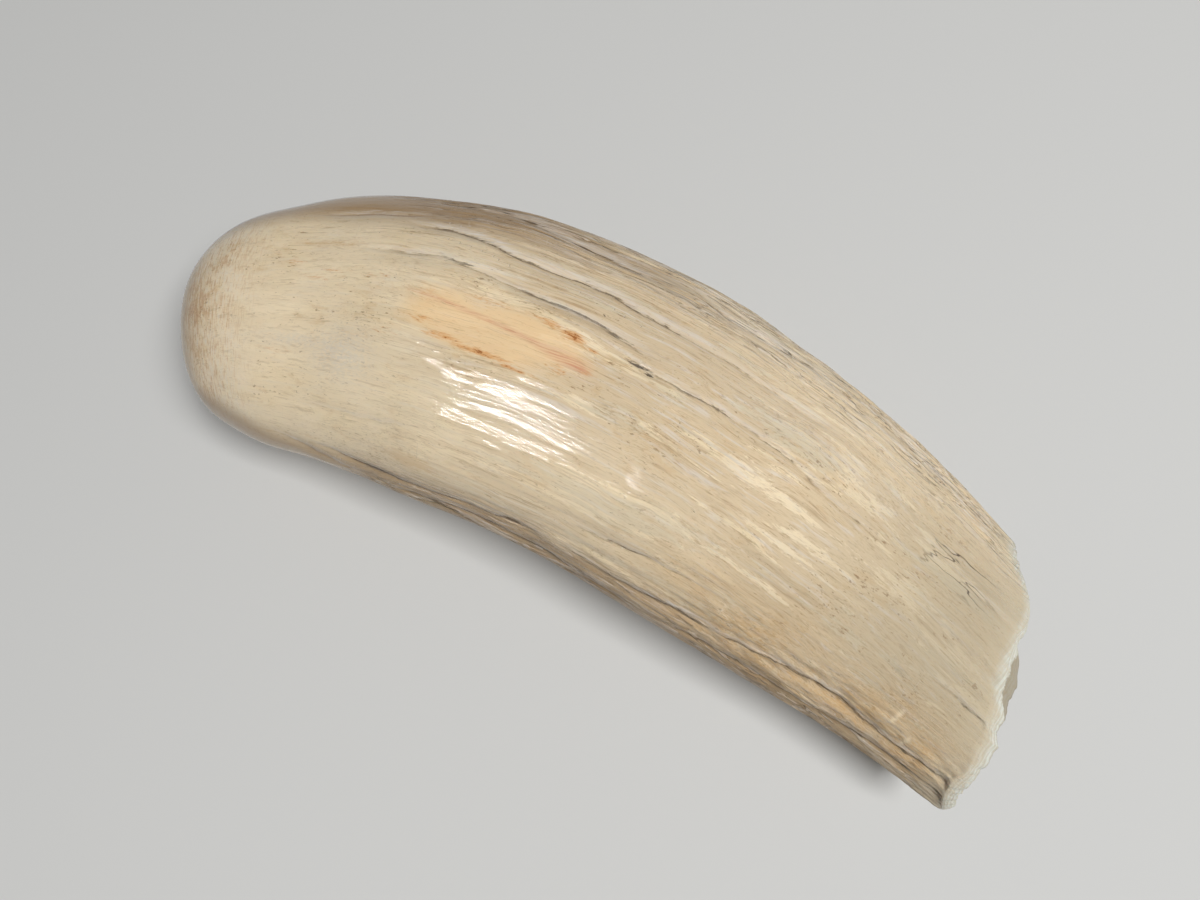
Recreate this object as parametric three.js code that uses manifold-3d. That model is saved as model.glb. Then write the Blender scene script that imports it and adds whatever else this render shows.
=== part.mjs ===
// A sperm whale tooth lying on its side: one bent, oval body with a worn round tip, grooved flanks and a
// thin broken root that is open on the pulp cavity. Millimetres, +Z up. The tip points to -X and the root
// to +X, and the outside of the bend faces +Y. It rests on the narrow flat of its underside, at Z = 0.
//
// Two numbers place anything on the tooth: how far along the bent centreline it is from the tip, and the
// angle round it, in degrees: 0 on the outside of the bend, 90 on top, 180 on the inside, 270 underneath.
import * as THREE from "three";
import { mergeVertices } from "three/addons/utils/BufferGeometryUtils.js";
import Module from "manifold-3d";

// The bend, seen from above
const CENTRELINE = new THREE.CubicBezierCurve3(
  new THREE.Vector3(-63.1, -10.3, 0),
  new THREE.Vector3(-24.4, 9.9, 0),
  new THREE.Vector3(20.4, 6.5, 0),
  new THREE.Vector3(72.0, -13.1, 0),
);

// Distance from the tip, then the half width towards the outside and the inside of the bend
const HALF_WIDTHS = [
  [0, 19.1, 19.1],
  [20, 20.7, 19.1],
  [45, 23.1, 22.7],
  [70, 23.0, 22.7],
  [95, 21.1, 21.8],
  [120, 18.3, 18.2],
  [145, 15.1, 15.0],
];
const HEIGHT_TO_WIDTH = 0.8; // the section is an oval, lower than it is wide
const TIP = { length: 21.5, outsideFullness: 2.2, insideFullness: 2.6 };
const FLAT_DEPTH = 0.4; // how much of the underside is worn away where the tooth rests

// The break at the root leans: shorter on the outside of the bend, longer on the inside
const BREAK = { middle: 128.4, lean: 8.6, wall: 2.6 };
const PULP = { deepest: 84, roundness: 0.62, lipDrop: 0.7 };

// Angle, then how far the broken edge stands out past the even slant
const CHIPS = [
  [0, -0.4], [14, 0.5], [27, 0.4], [40, -1.1], [47, -0.9], [58, 0.8], [68, 0.4], [77, -0.9],
  [82, -0.2], [91, 0.1], [99, -0.6], [107, -0.3], [113, -1.1], [118, -0.3], [131, -0.5], [146, -0.7],
  [158, -0.7], [170, 0.1], [182, 0.9], [194, 0.2], [205, -0.9], [219, 0.3], [233, -0.8], [246, 0.9],
  [258, 1.2], [270, -0.4], [283, 0.6], [297, -0.9], [311, 0.2], [326, -1.3], [338, 0.3], [350, 0.4],
];

// Angle, then how far back from the edge the worn slope of the break reaches
const WORN_SLOPE = [
  [20, 1.2], [75, 1.3], [92, 1.8], [112, 2.2], [126, 3.4], [142, 2.8], [168, 1.6], [200, 1.4], [290, 2.4],
];

// Grooves and ledges along the grain: width and depth of the groove, how many times wider its far side is,
// and points on its line, each a distance from the tip and an angle
const GROOVES = [
  { width: 1.3, depth: 0.8, spread: 2.4, line: [[38, 32], [52, 42], [62, 46], [70, 43]] },
  { width: 1.3, depth: 0.9, spread: 2.4, line: [[68, 38], [76, 45], [84, 41], [94, 35]] },
  { width: 1.2, depth: 0.4, spread: 1.0, line: [[18, 52], [33, 51], [42, 55]] },
  { width: 1.2, depth: 0.6, spread: 1.6, line: [[30, 57], [46, 62], [60, 65], [78, 67], [96, 67]] },
  { width: 1.2, depth: 0.5, spread: 1.4, line: [[15, 72], [32, 73], [46, 75], [60, 78], [74, 81]] },
  { width: 1.3, depth: 0.4, spread: 1.0, line: [[56, 80], [70, 84], [86, 86], [106, 88]] },
  { width: 1.4, depth: 0.6, spread: 1.6, line: [[94, 32], [105, 36], [119, 38]] },
  { width: 1.3, depth: 0.7, spread: 2.0, line: [[44, 20], [58, 27], [78, 29], [90, 24]] },
  { width: 1.4, depth: 0.3, spread: 1.0, line: [[20, 138], [32, 139], [46, 135]] },
  { width: 1.4, depth: 0.4, spread: 1.0, line: [[68, 146], [82, 142], [96, 139]] },
  { width: 1.4, depth: 0.6, spread: 1.8, line: [[24, 159], [34, 166], [48, 165], [60, 161], [70, 158]] },
  { width: 1.5, depth: 0.8, spread: 1.8, line: [[68, 157], [80, 162], [100, 155], [112, 150], [120, 155], [134, 152]] },
  { width: 1.3, depth: 1.0, spread: 1.6, line: [[86, 173], [98, 169], [106, 168], [114, 172], [124, 167], [138, 165]] },
  { width: 1.5, depth: 0.5, spread: 1.4, line: [[16, 157], [26, 170], [36, 177]] },
  { width: 1.5, depth: 0.7, spread: 2.0, line: [[38, 177], [55, 171], [72, 174], [88, 181]] },
  { width: 1.5, depth: 0.7, spread: 1.8, line: [[24, 206], [48, 198], [76, 203], [104, 196], [132, 201]] },
  { width: 1.4, depth: 0.6, spread: 1.4, line: [[58, 223], [84, 215], [110, 221], [132, 216]] },
  { width: 1.5, depth: 0.4, spread: 1.0, line: [[30, 238], [58, 233], [82, 239], [98, 235]] },
  { width: 1.5, depth: 0.5, spread: 1.4, line: [[40, 302], [62, 308], [88, 302], [112, 309]] },
  { width: 1.4, depth: 0.7, spread: 1.8, line: [[28, 325], [50, 331], [80, 322], [110, 330], [126, 327]] },
  { width: 1.4, depth: 0.8, spread: 2.0, line: [[36, 348], [58, 342], [80, 350], [100, 345], [122, 352]] },
  { width: 1.3, depth: 0.8, spread: 2.0, line: [[50, 9], [72, 3], [92, 11], [122, 6]] },
  { width: 1.3, depth: 0.4, spread: 1.4, line: [[24, 14], [38, 20], [50, 15]] },
];
const GROOVE_FADE = 9; // a groove comes in and dies out over this length

// The slow unevenness of the flanks: height, length of a wave along the tooth, waves round it, start angle
const SWELLS = [
  { height: 0.3, length: 47, round: 2, start: 20 },
  { height: 0.2, length: 29, round: 3, start: 130 },
  { height: 0.14, length: 17, round: 5, start: 250 },
];
const UNDERSIDE = { angle: 270, halfWidth: 24 }; // left plain, so that the flat is whole

const SIDES = 104;
const RINGS = { tip: 9, body: 24, pulp: 9 };
const DENTINE = { color: "#e0cda3", roughness: 0.45, metalness: 0 };

const WELD = 1e-4;
const CUTTER_SIZE = 400;

const cosDeg = (angle) => Math.cos(THREE.MathUtils.degToRad(angle));
const sinDeg = (angle) => Math.sin(THREE.MathUtils.degToRad(angle));
const turnApart = (a, b) => THREE.MathUtils.euclideanModulo(a - b + 180, 360) - 180;

// A straight run from point to point, held level before the first and after the last.
function straightRun(points, x) {
  const next = points.findIndex((point) => point[0] >= x);
  if (next === -1) return points[points.length - 1][1];
  if (next === 0) return points[0][1];
  const [from, to] = [points[next - 1], points[next]];
  return THREE.MathUtils.mapLinear(x, from[0], to[0], from[1], to[1]);
}

// The same round the tooth, where the last angle leads back to the first.
function straightRunRound(points, angle) {
  const [first, last] = [points[0], points[points.length - 1]];
  const round = [[last[0] - 360, last[1]], ...points, [first[0] + 360, first[1]]];
  return straightRun(round, angle);
}

// A smooth curve through the given column of the points, each slope taken from the neighbours on both sides.
function smoothRun(points, x, column = 1) {
  const last = points.length - 1;
  const next = THREE.MathUtils.clamp(points.findIndex((point) => point[0] >= x), 1, last);
  const slopeAt = (index) => {
    const [before, after] = [points[Math.max(index - 1, 0)], points[Math.min(index + 1, last)]];
    return (after[column] - before[column]) / (after[0] - before[0]);
  };
  const [from, to] = [points[next - 1], points[next]];
  const span = to[0] - from[0];
  const t = THREE.MathUtils.clamp((x - from[0]) / span, 0, 1);
  const rise = to[column] - from[column];
  const bend = (1 - t) * (slopeAt(next - 1) * span - rise) - t * (slopeAt(next) * span - rise);
  return from[column] + t * rise + t * (1 - t) * bend;
}

// Half sizes of the oval section: towards the outside of the bend, towards the inside, and upwards.
function section(along) {
  const outside = smoothRun(HALF_WIDTHS, along, 1);
  const inside = smoothRun(HALF_WIDTHS, along, 2);
  return { outside, inside, height: (HEIGHT_TO_WIDTH * (outside + inside)) / 2 };
}

// How much of the full section the rounded tip has reached, from 0 at the very tip to 1.
function tipShare(along, fullness) {
  const left = THREE.MathUtils.clamp(1 - along / TIP.length, 0, 1);
  return (1 - left ** fullness) ** (1 / fullness);
}

// A point of the section at a place on the centreline: the offset is towards the outside of the bend and up.
function atSection(along, sideways, upwards) {
  const share = along / CENTRELINE.getLength();
  const forward = CENTRELINE.getTangentAt(share);
  const point = CENTRELINE.getPointAt(share);
  point.x -= forward.y * sideways;
  point.y += forward.x * sideways;
  point.z = section(along).height - FLAT_DEPTH + upwards;
  return point;
}

// How far the surface stands out from the plain oval, with grooves as negative heights.
function relief(along, angle) {
  const radius = section(along).outside;
  let height = 0;
  for (const swell of SWELLS)
    height += swell.height * sinDeg((360 * along) / swell.length + swell.round * angle + swell.start);
  for (const { width, depth, spread, line } of GROOVES) {
    const [start, end] = [line[0][0], line[line.length - 1][0]];
    if (along <= start || along >= end) continue;
    const across = THREE.MathUtils.degToRad(turnApart(angle, smoothRun(line, along))) * radius;
    const reach = across > 0 ? width : width * spread;
    const comingIn = THREE.MathUtils.smoothstep(along, start, start + GROOVE_FADE);
    const dyingOut = 1 - THREE.MathUtils.smoothstep(along, end - GROOVE_FADE, end);
    const open = end > BREAK.middle - BREAK.lean ? comingIn : comingIn * dyingOut;
    height -= depth * open * Math.exp(-((across / reach) ** 2));
  }
  const fromUnderside = turnApart(angle, UNDERSIDE.angle) / UNDERSIDE.halfWidth;
  const overTip = THREE.MathUtils.smoothstep(along, 0, TIP.length);
  return height * overTip * (1 - Math.exp(-(fromUnderside ** 4)));
}

// A point of the outer skin, or of a layer at some depth below it.
function skinPoint(along, angle, depth = 0) {
  const { outside, inside, height } = section(along);
  const sideShare = tipShare(along, TIP.outsideFullness);
  const innerShare = tipShare(along, TIP.insideFullness);
  const halfWidth = cosDeg(angle) >= 0 ? outside * sideShare : inside * innerShare;
  const halfHeight = (height * (sideShare + innerShare)) / 2;
  const out = relief(along, angle) - depth;
  return atSection(along, (halfWidth + out) * cosDeg(angle), (halfHeight + out) * sinDeg(angle));
}

// Where the broken edge is, at an angle round the tooth.
function breakAt(angle) {
  return BREAK.middle - BREAK.lean * cosDeg(angle) + straightRunRound(CHIPS, angle);
}

// A point of the pulp cavity's wall: share 0 is its deepest point and 1 its mouth.
function pulpPoint(share, angle) {
  const mouth = breakAt(angle) - PULP.lipDrop;
  const along = THREE.MathUtils.lerp(PULP.deepest, mouth, share);
  const { outside, inside, height } = section(along);
  const halfWidth = (cosDeg(angle) >= 0 ? outside : inside) - BREAK.wall;
  const opened = share ** PULP.roundness;
  return atSection(along, halfWidth * opened * cosDeg(angle), (height - BREAK.wall) * opened * sinDeg(angle));
}

// The rings of the surface, in order from the tip over the skin to the break and down into the cavity.
// Each has the radius and place that it has on a straight round blank, and its true place at an angle.
function surfaceRings() {
  const rings = [];
  for (let k = 0; k <= RINGS.tip; k++) {
    const along = TIP.length * (1 - cosDeg((90 * k) / RINGS.tip));
    const radius = section(along).height * tipShare(along, TIP.outsideFullness);
    rings.push({ radius, along, place: (angle) => skinPoint(along, angle) });
  }
  for (let k = 1; k <= RINGS.body; k++) {
    const towards = (angle) => {
      const skinEnd = breakAt(angle) - straightRunRound(WORN_SLOPE, angle);
      return THREE.MathUtils.lerp(TIP.length, skinEnd, k / RINGS.body);
    };
    const along = THREE.MathUtils.lerp(TIP.length, BREAK.middle, k / RINGS.body);
    rings.push({ radius: section(along).height, along, place: (angle) => skinPoint(towards(angle), angle) });
  }
  const lipRadius = section(BREAK.middle).height - BREAK.wall / 2;
  rings.push({
    radius: lipRadius,
    along: BREAK.middle + PULP.lipDrop,
    place: (angle) => skinPoint(breakAt(angle), angle, BREAK.wall / 2),
  });
  for (let k = RINGS.pulp; k >= 0; k--) {
    const share = (k / RINGS.pulp) ** 1.4;
    const radius = (lipRadius - BREAK.wall / 2) * share;
    const along = THREE.MathUtils.lerp(PULP.deepest, BREAK.middle, share);
    rings.push({ radius, along, place: (angle) => pulpPoint(share, angle) });
  }
  return rings;
}

// The tooth before its underside is flattened: a lathe-turned blank with each vertex moved to its place.
function bentTooth() {
  const rings = surfaceRings();
  const blank = new THREE.LatheGeometry(
    rings.map(({ radius, along }) => new THREE.Vector2(radius, along)),
    SIDES,
  );
  blank.deleteAttribute("normal");
  blank.deleteAttribute("uv");
  const position = blank.getAttribute("position");
  for (let vertex = 0; vertex < position.count; vertex++) {
    const side = Math.floor(vertex / rings.length) % SIDES;
    const { x, y, z } = rings[vertex % rings.length].place((360 * side) / SIDES);
    position.setXYZ(vertex, x, y, z);
  }
  return mergeVertices(blank, WELD);
}

const wasm = await Module();
wasm.setup();

// A closed geometry with merged vertices as a solid for boolean cuts.
function toSolid(geometry) {
  return new wasm.Manifold(
    new wasm.Mesh({
      numProp: 3,
      vertProperties: geometry.getAttribute("position").array,
      triVerts: new Uint32Array(geometry.index.array),
    }),
  );
}

// The solid's surface as a geometry again.
function toGeometry(solid) {
  const { vertProperties, triVerts } = solid.getMesh();
  const geometry = new THREE.BufferGeometry();
  geometry.setAttribute("position", new THREE.BufferAttribute(vertProperties, 3));
  geometry.setIndex(new THREE.BufferAttribute(triVerts, 1));
  geometry.computeVertexNormals();
  return geometry;
}

// A block whose top is the plane that the tooth rests on.
function groundBlock() {
  const block = new THREE.BoxGeometry(CUTTER_SIZE, CUTTER_SIZE, CUTTER_SIZE);
  block.translate(0, 0, -CUTTER_SIZE / 2);
  block.deleteAttribute("normal");
  block.deleteAttribute("uv");
  return mergeVertices(block, WELD);
}

const rested = toSolid(bentTooth()).subtract(toSolid(groundBlock()));
const tooth = new THREE.Mesh(toGeometry(rested), new THREE.MeshStandardMaterial(DENTINE));
tooth.name = "tooth";

const object = new THREE.Group();
object.add(tooth);

export default object;
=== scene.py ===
"""A sperm whale tooth, lying on its side on a pale studio floor.

The tooth is modelled straight, with its grooves, ledges and broken root carved in, and is then bent along
its centreline. Two numbers place anything on it: how far along it is from the tip, in millimetres, and the
angle round it, in degrees: 0 on the outside of the bend, 90 on top, 180 on the inside, 270 underneath.
Lengths are in millimetres unless their note says metres, and the mesh is scaled to metres when it is handed
over.
"""

import itertools
import logging
import math
from collections.abc import Sequence
from dataclasses import dataclass, field
from enum import Enum, IntEnum
from typing import ClassVar, TypeAlias

import bpy
import numpy as np
from mathutils import Matrix, Vector


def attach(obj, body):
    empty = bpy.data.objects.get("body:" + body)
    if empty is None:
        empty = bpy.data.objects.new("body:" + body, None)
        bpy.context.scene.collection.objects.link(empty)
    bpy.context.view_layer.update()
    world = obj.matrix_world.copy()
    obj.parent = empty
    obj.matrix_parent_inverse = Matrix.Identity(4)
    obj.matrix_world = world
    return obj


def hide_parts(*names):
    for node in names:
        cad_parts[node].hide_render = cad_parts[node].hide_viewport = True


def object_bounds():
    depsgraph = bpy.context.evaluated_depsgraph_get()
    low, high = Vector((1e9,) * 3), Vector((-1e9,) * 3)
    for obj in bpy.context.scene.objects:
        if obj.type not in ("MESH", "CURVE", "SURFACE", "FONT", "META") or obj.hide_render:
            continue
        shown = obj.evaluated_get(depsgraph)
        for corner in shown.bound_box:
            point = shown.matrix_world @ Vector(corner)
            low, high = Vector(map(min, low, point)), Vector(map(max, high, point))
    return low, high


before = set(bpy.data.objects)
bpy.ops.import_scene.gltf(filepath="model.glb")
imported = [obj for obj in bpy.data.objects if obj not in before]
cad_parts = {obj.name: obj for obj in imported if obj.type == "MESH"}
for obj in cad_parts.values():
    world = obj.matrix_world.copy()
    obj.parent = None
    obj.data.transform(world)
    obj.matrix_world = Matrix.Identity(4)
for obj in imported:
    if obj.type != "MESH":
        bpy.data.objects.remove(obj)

MM = 0.001
FULL_TURN = 360
OUTSIDE, TOP, UNDERNEATH = 0, 90, 270
CAD_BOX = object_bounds()

log = logging.getLogger("tooth")


class Seed(IntEnum):
    """The numbers that the carved patterns grow from."""

    LONG_GROOVES = 11
    SHORT_GROOVES = 31
    WORN_LAYER = 51
    WORN_LAYER_EDGE = 57
    CRUST = 61
    SLOW_WANDER = 71
    QUICK_WANDER = 72
    FIRST_GROOVE = 80
    GROWTH_STEPS = 91
    PULP_WALL = 95
    SPLINTERS = 97


@dataclass(frozen=True)
class Run:
    """A value that changes smoothly, or straight from point to point, along a list of points.

    Attributes:
        points: Pairs of place and value, in order of place.
        round: Whether the places are angles, so that the last leads back to the first.
    """

    points: Sequence[tuple[float, float]]
    round: bool = False

    def _columns(self) -> tuple[np.ndarray, np.ndarray]:
        """Part the points into places and values.

        Returns:
            The places and the values, with a point added past each end of a full turn.
        """
        table = np.array(self.points, float)
        if self.round:
            table = np.vstack([table[-1] - (FULL_TURN, 0), table, table[0] + (FULL_TURN, 0)])
        return table[:, 0], table[:, 1]

    def _within(self, at: np.ndarray) -> np.ndarray:
        """Return angles between 0 and a full turn, and other places as they are."""
        return np.mod(at, FULL_TURN) if self.round else at

    def straight(self, at: np.ndarray) -> np.ndarray:
        """Return the value on straight lines between the points."""
        return np.interp(self._within(at), *self._columns())

    def smooth(self, at: np.ndarray) -> np.ndarray:
        """Read the value off a smooth curve, each slope taken from the neighbours on both sides.

        Args:
            at: The places to read it at.

        Returns:
            The value at each of them.
        """
        places, values = self._columns()
        at = self._within(at)
        last = len(places) - 1
        index = np.arange(last + 1)
        before, after = np.maximum(index - 1, 0), np.minimum(index + 1, last)
        slopes = (values[after] - values[before]) / (places[after] - places[before])
        high = np.clip(np.searchsorted(places, at), 1, last)
        span = places[high] - places[high - 1]
        rise = values[high] - values[high - 1]
        t = np.clip((at - places[high - 1]) / span, 0, 1)
        bend = (1 - t) * (slopes[high - 1] * span - rise) - t * (slopes[high] * span - rise)
        return values[high - 1] + t * rise + t * (1 - t) * bend


@dataclass(frozen=True)
class GradientNoise:
    """Smooth seeded noise in space, from about -1 to 1.

    Attributes:
        seed: The number that the pattern grows from.
        SLOPES: How many slopes it draws before it repeats them, a power of 2.
        GAIN: What brings it to its full height.
    """

    seed: int

    SLOPES: ClassVar[int] = 256
    GAIN: ClassVar[float] = 1.5

    def __call__(self, points: np.ndarray) -> np.ndarray:
        """Return the noise at each point.

        Args:
            points: One row of three coordinates for each point, one unit to a lump.

        Returns:
            One value for each point.
        """
        rng = np.random.default_rng(int(self.seed))
        order = rng.permutation(self.SLOPES)
        slopes = rng.normal(size=(self.SLOPES, 3))
        slopes /= np.linalg.norm(slopes, axis=1, keepdims=True)
        cell = np.floor(points).astype(int)
        inside = points - cell
        ease = inside**3 * (inside * (inside * 6 - 15) + 10)
        total = np.zeros(len(points))
        wrap = self.SLOPES - 1
        for corner in itertools.product((0, 1), repeat=3):
            x, y, z = (cell + corner).T & wrap
            slope = slopes[order[(order[(order[x] + y) & wrap] + z) & wrap]]
            weight = np.where(corner, ease, 1 - ease).prod(axis=1)
            total += weight * (slope * (inside - corner)).sum(axis=1)
        return self.GAIN * total

    def layered(self, points: np.ndarray, layers: int = 3) -> np.ndarray:
        """Return the noise with finer and weaker layers of itself added."""
        return sum(GradientNoise(self.seed + k)(points * 2**k) / 2**k for k in range(layers))


def smooth_step(value: np.ndarray, low: float, high: float) -> np.ndarray:
    """Return 0 below low, 1 above high and a soft rise between them."""
    t = np.clip((value - low) / (high - low), 0, 1)
    return t * t * (3 - 2 * t)


def turn_apart(a: np.ndarray, b: np.ndarray | float) -> np.ndarray:
    """Return the angle from b to a, in degrees, from half a turn back to half a turn on."""
    return np.mod(a - b + FULL_TURN / 2, FULL_TURN) - FULL_TURN / 2


@dataclass(frozen=True)
class Outline:
    """The plain shape of the tooth before anything is carved: an oval along a bend, with a worn round tip.

    Attributes:
        outside: Half width towards the outside of the bend, by distance from the tip.
        inside: Half width towards the inside of the bend.
        height_to_width: How high the section is for its width.
        tip_length: How far from the tip the section reaches its full size.
        outside_fullness: How blunt the tip is on the outside, where 2 is an oval.
        inside_fullness: How blunt it is on the inside.
        flat_depth: How much of the height the flat underneath takes away.
        break_middle: How far from the tip the tooth is broken off, halfway between outside and inside.
        break_lean: How much sooner it ends on the outside, and later on the inside.
        top_length: How much further the top reaches.
        top_angle: The angle at the middle of that longer top.
        top_reach: How many degrees the longer top reaches to each side.
        splinter_length: How far the splinters of the broken edge reach.
        splinter_fineness: How close together they are.
        wall: How thick the wall is at the break.
        pulp_deepest: How far from the tip the pulp cavity ends.
        pulp_roundness: How the cavity widens from there: 1 is a straight cone, and less is rounder.
        pulp_crowding: How much closer together its rings are at the deep end.
        lip_drop: How far inside the edge the cavity's wall starts.
        slope_roundness: How late the worn slope turns down.
        least_slope: How long the slope is at the least.
        slope_chips: How much of the chips the upper end of the slope follows.
        chips: How much longer or shorter the broken edge is at each angle.
        worn_slope: How long the worn slope above the edge is at each angle.
    """

    outside: Run = Run([(0, 19.1), (20, 20.7), (45, 23.1), (70, 23.0), (95, 21.1), (120, 18.3), (145, 15.1)])
    inside: Run = Run([(0, 19.1), (20, 19.1), (45, 22.7), (70, 22.7), (95, 21.8), (120, 18.2), (145, 15.0)])
    height_to_width: float = 0.8
    tip_length: float = 21.5
    outside_fullness: float = 2.2
    inside_fullness: float = 2.6
    flat_depth: float = 0.4
    break_middle: float = 128.4
    break_lean: float = 8.6
    top_length: float = 1.2
    top_angle: float = 85
    top_reach: float = 52
    splinter_length: float = 0.32
    splinter_fineness: float = 12
    wall: float = 2.6
    pulp_deepest: float = 84.0
    pulp_roundness: float = 0.62
    pulp_crowding: float = 1.4
    lip_drop: float = 0.7
    slope_roundness: float = 2.1
    least_slope: float = 0.4
    slope_chips: float = 0.5
    chips: Run = Run(
        [
            (0, -0.4), (14, 0.5), (27, 0.4), (40, -1.1), (47, -0.9), (58, 0.8), (68, 0.4), (77, -0.9),
            (82, -0.2), (91, 0.1), (99, -0.6), (107, -0.3), (113, -1.1), (118, -0.3), (131, -0.5),
            (146, -0.7), (158, -0.7), (170, 0.1), (182, 0.9), (194, 0.2), (205, -0.9), (219, 0.3),
            (233, -0.8), (246, 0.9), (258, 1.2), (270, -0.4), (283, 0.6), (297, -0.9), (311, 0.2),
            (326, -1.3), (338, 0.3), (350, 0.4),
        ],
        round=True,
    )
    worn_slope: Run = Run(
        [
            (20, 0.8), (68, 0.8), (78, 2.2), (92, 3.2), (112, 3.0), (126, 3.4), (142, 3.2), (162, 2.2),
            (180, 1.2), (230, 1.6), (290, 2.4),
        ],
        round=True,
    )

    def height(self, along: np.ndarray) -> np.ndarray:
        """Return half the height of the section."""
        return self.height_to_width * (self.outside.smooth(along) + self.inside.smooth(along)) / 2

    def middle(self, along: np.ndarray) -> np.ndarray:
        """Return how high above the floor the middle of the section is."""
        return self.height(along) - self.flat_depth

    def tip_share(self, along: np.ndarray, fullness: float) -> np.ndarray:
        """Return how much of the full section the round tip has reached, from 0 to 1."""
        left = np.clip(1 - along / self.tip_length, 0, 1)
        return (1 - left**fullness) ** (1 / fullness)

    def even_break(self, angle: np.ndarray) -> np.ndarray:
        """Return how far along the tooth would end at an angle without its chips."""
        even = self.break_middle - self.break_lean * np.cos(np.radians(angle))
        return even + self.top_length * np.exp(-((turn_apart(angle, self.top_angle) / self.top_reach) ** 4))

    def break_at(self, angle: np.ndarray) -> np.ndarray:
        """Find the broken edge, with its chips and splinters.

        Args:
            angle: Angles round the tooth.

        Returns:
            How far along the edge is at each of them.
        """
        turn = np.radians(angle)
        rim = np.column_stack([np.cos(turn), np.sin(turn), 0 * turn])
        splinters = GradientNoise(Seed.SPLINTERS).layered(self.splinter_fineness * rim, 2)
        return self.even_break(angle) + self.chips.straight(angle) + self.splinter_length * splinters

    def section(self, along: np.ndarray, angle: np.ndarray) -> tuple[np.ndarray, np.ndarray]:
        """Return the half width towards this angle's side and the half height of the skin.

        Args:
            along: Distances from the tip.
            angle: Angles round the tooth, in degrees.

        Returns:
            Two arrays: half widths and half heights.
        """
        outer_share = self.tip_share(along, self.outside_fullness)
        inner_share = self.tip_share(along, self.inside_fullness)
        outer = self.outside.smooth(along) * outer_share
        inner = self.inside.smooth(along) * inner_share
        half_width = np.where(np.cos(np.radians(angle)) >= 0, outer, inner)
        return half_width, self.height(along) * (outer_share + inner_share) / 2


@dataclass(frozen=True)
class Groove:
    """A groove or ledge along the grain.

    Attributes:
        width: Half width of the groove.
        depth: Its depth.
        spread: How many times wider its far side is.
        line: Pairs of distance from the tip and angle that it follows.
        FADE: Over what length each end runs out.
        CRACK_WIDTH: Half width of the crack at the bottom, in half widths of the groove.
        HOLLOW_SHARE: How much of the depth is the wide hollow.
        CRACK_SHARE: How much of it is the crack.
    """

    width: float
    depth: float
    spread: float
    line: Run

    FADE: ClassVar[float] = 9.0
    CRACK_WIDTH: ClassVar[float] = 0.26
    HOLLOW_SHARE: ClassVar[float] = 0.62
    CRACK_SHARE: ClassVar[float] = 0.38

    def profile(
        self, along: np.ndarray, angle: np.ndarray, radius: np.ndarray, open_end: float
    ) -> tuple[np.ndarray, np.ndarray]:
        """Return where each place lies across the groove, and how strong the groove is there.

        Args:
            along: Distances from the tip.
            angle: Angles round the tooth.
            radius: The radius of the tooth there.
            open_end: A groove that reaches past this distance runs out through the broken edge.

        Returns:
            The signed distance across the groove in half widths, and its strength along the line, 0 to 1.
        """
        start, end = self.line.points[0][0], self.line.points[-1][0]
        across = np.radians(turn_apart(angle, self.line.smooth(along))) * radius
        strength = smooth_step(along, start, start + self.FADE)
        if end < open_end:
            strength = strength * (1 - smooth_step(along, end - self.FADE, end))
        return np.where(across > 0, across / self.width, across / (self.width * self.spread)), strength

    def crack(self, across: np.ndarray) -> np.ndarray:
        """Return the narrow crack at the bottom of the groove, 1 in its middle."""
        return np.exp(-((across / self.CRACK_WIDTH) ** 2))

    def hollow(self, across: np.ndarray) -> np.ndarray:
        """Return the whole section of the groove, a wide hollow with the crack in it, 1 in its middle."""
        return self.HOLLOW_SHARE * np.exp(-(across**2)) + self.CRACK_SHARE * self.crack(across)


def _groove(width: float, depth: float, spread: float, *line: tuple[float, float]) -> Groove:
    """Return a groove from its sizes and the points of its line."""
    return Groove(width, depth, spread, Run(line))


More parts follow.
